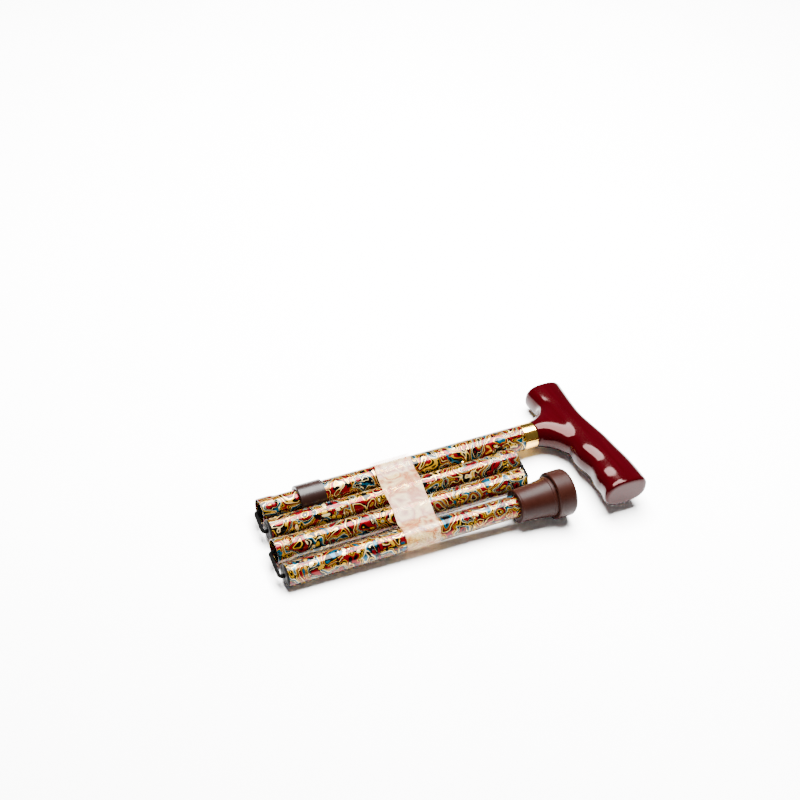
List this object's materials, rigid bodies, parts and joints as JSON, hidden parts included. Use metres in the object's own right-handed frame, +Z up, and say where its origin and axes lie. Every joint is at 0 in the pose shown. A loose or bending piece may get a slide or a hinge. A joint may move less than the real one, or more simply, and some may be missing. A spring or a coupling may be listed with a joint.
{
  "type": "folding cane",
  "caption": "Folding walking cane, folded flat: wooden crutch handle, height-adjustable upper tube, belled tube sections on an elastic cord, rubber ferrule and holding band.",
  "frame": {"origin": "middle of the folded cane on the surface it lies on", "axes": "+X along the tubes towards the handle, +Y away from the folded sections, +Z up"},
  "size_m": [0.3086, 0.131, 0.038],
  "materials": {
    "lacquered_wood": "burgundy stain under a high-gloss lacquer",
    "nylon": "natural",
    "steel": "bright zinc",
    "gold_metal": "polished",
    "printed_tube": "marbled print under clear gloss film",
    "brown_plastic": "satin moulded",
    "black_plastic": "satin moulded",
    "elastic_cord": "braided cover",
    "brown_rubber": "satin moulded",
    "frosted_band": "frosted soft sheet"
  },
  "bodies": {
    "upper": {"handle": "lacquered_wood", "handle_spigot": "nylon", "spigot_screw": "steel", "handle_ring": "gold_metal", "upper_tube": "printed_tube", "thread_sleeve": "nylon", "compression_ring": "nylon"},
    "collar": {"lock_collar": "brown_plastic"},
    "slider": {"inner_tube": "printed_tube", "slide_guide": "nylon", "button_spring": "steel", "cord_anchor": "black_plastic", "cord_in_slider": "elastic_cord"},
    "button": {"snap_button": "gold_metal"},
    "fold_1": {"cord_loop_1": "elastic_cord"},
    "section_2": {"tube_2": "printed_tube", "guide_plug_2": "black_plastic", "cord_in_2": "elastic_cord"},
    "fold_2": {"cord_loop_2": "elastic_cord"},
    "section_3": {"tube_3": "printed_tube", "guide_plug_3": "black_plastic", "cord_in_3": "elastic_cord"},
    "fold_3": {"cord_loop_3": "elastic_cord"},
    "section_4": {"tube_4": "printed_tube", "guide_plug_4": "black_plastic", "cord_in_4": "elastic_cord", "cord_stop": "black_plastic", "ferrule": "brown_rubber", "ferrule_washer": "steel"},
    "holder": {"holder_band": "frosted_band"}
  },
  "joints": [
    {"name": "collar_turn", "type": "hinge", "parent": "upper", "child": "collar", "pos_m": [-0.10098, 0.0225, 0.019], "axis": [1, 0, 0], "range_deg": [0, 180]},
    {"name": "height_slide", "type": "slide", "parent": "upper", "child": "slider", "axis": [-1, 0, 0], "range_m": [0, 0.096]},
    {"name": "button_press", "type": "slide", "parent": "slider", "child": "button", "axis": [0, 1, 0], "range_m": [0, 0.0032], "stiffness_N_per_m": 1500, "deforming": ["button_spring"]},
    {"name": "unfold_1", "type": "hinge", "parent": "slider", "child": "fold_1", "pos_m": [-0.14448, 0.01162, 0.019], "axis": [0, 0, -1], "range_deg": [0, 180], "deforming": ["cord_loop_1", "holder_band"]},
    {"name": "push_home_1", "type": "slide", "parent": "fold_1", "child": "section_2", "axis": [-1, 0, 0], "range_m": [0, 0.009]},
    {"name": "unfold_2", "type": "hinge", "parent": "section_2", "child": "fold_2", "pos_m": [0.06802, -0.01013, 0.019], "axis": [0, 0, 1], "range_deg": [0, 180], "deforming": ["cord_loop_2"]},
    {"name": "push_home_2", "type": "slide", "parent": "fold_2", "child": "section_3", "axis": [1, 0, 0], "range_m": [0, 0.009]},
    {"name": "unfold_3", "type": "hinge", "parent": "section_3", "child": "fold_3", "pos_m": [-0.14948, -0.03363, 0.019], "axis": [0, 0, -1], "range_deg": [0, 180], "deforming": ["cord_loop_3"]},
    {"name": "push_home_3", "type": "slide", "parent": "fold_3", "child": "section_4", "axis": [-1, 0, 0], "range_m": [0, 0.009]},
    {"name": "band_slide", "type": "slide", "parent": "slider", "child": "holder", "axis": [1, 0, 0], "range_m": [-0.039, 0.06]}
  ],
  "couplings": [
    {"joint": "unfold_2", "follows": "unfold_1", "ratio": 1},
    {"joint": "unfold_3", "follows": "unfold_1", "ratio": 1},
    {"joint": "push_home_2", "follows": "push_home_1", "ratio": 1},
    {"joint": "push_home_3", "follows": "push_home_1", "ratio": 1}
  ]
}
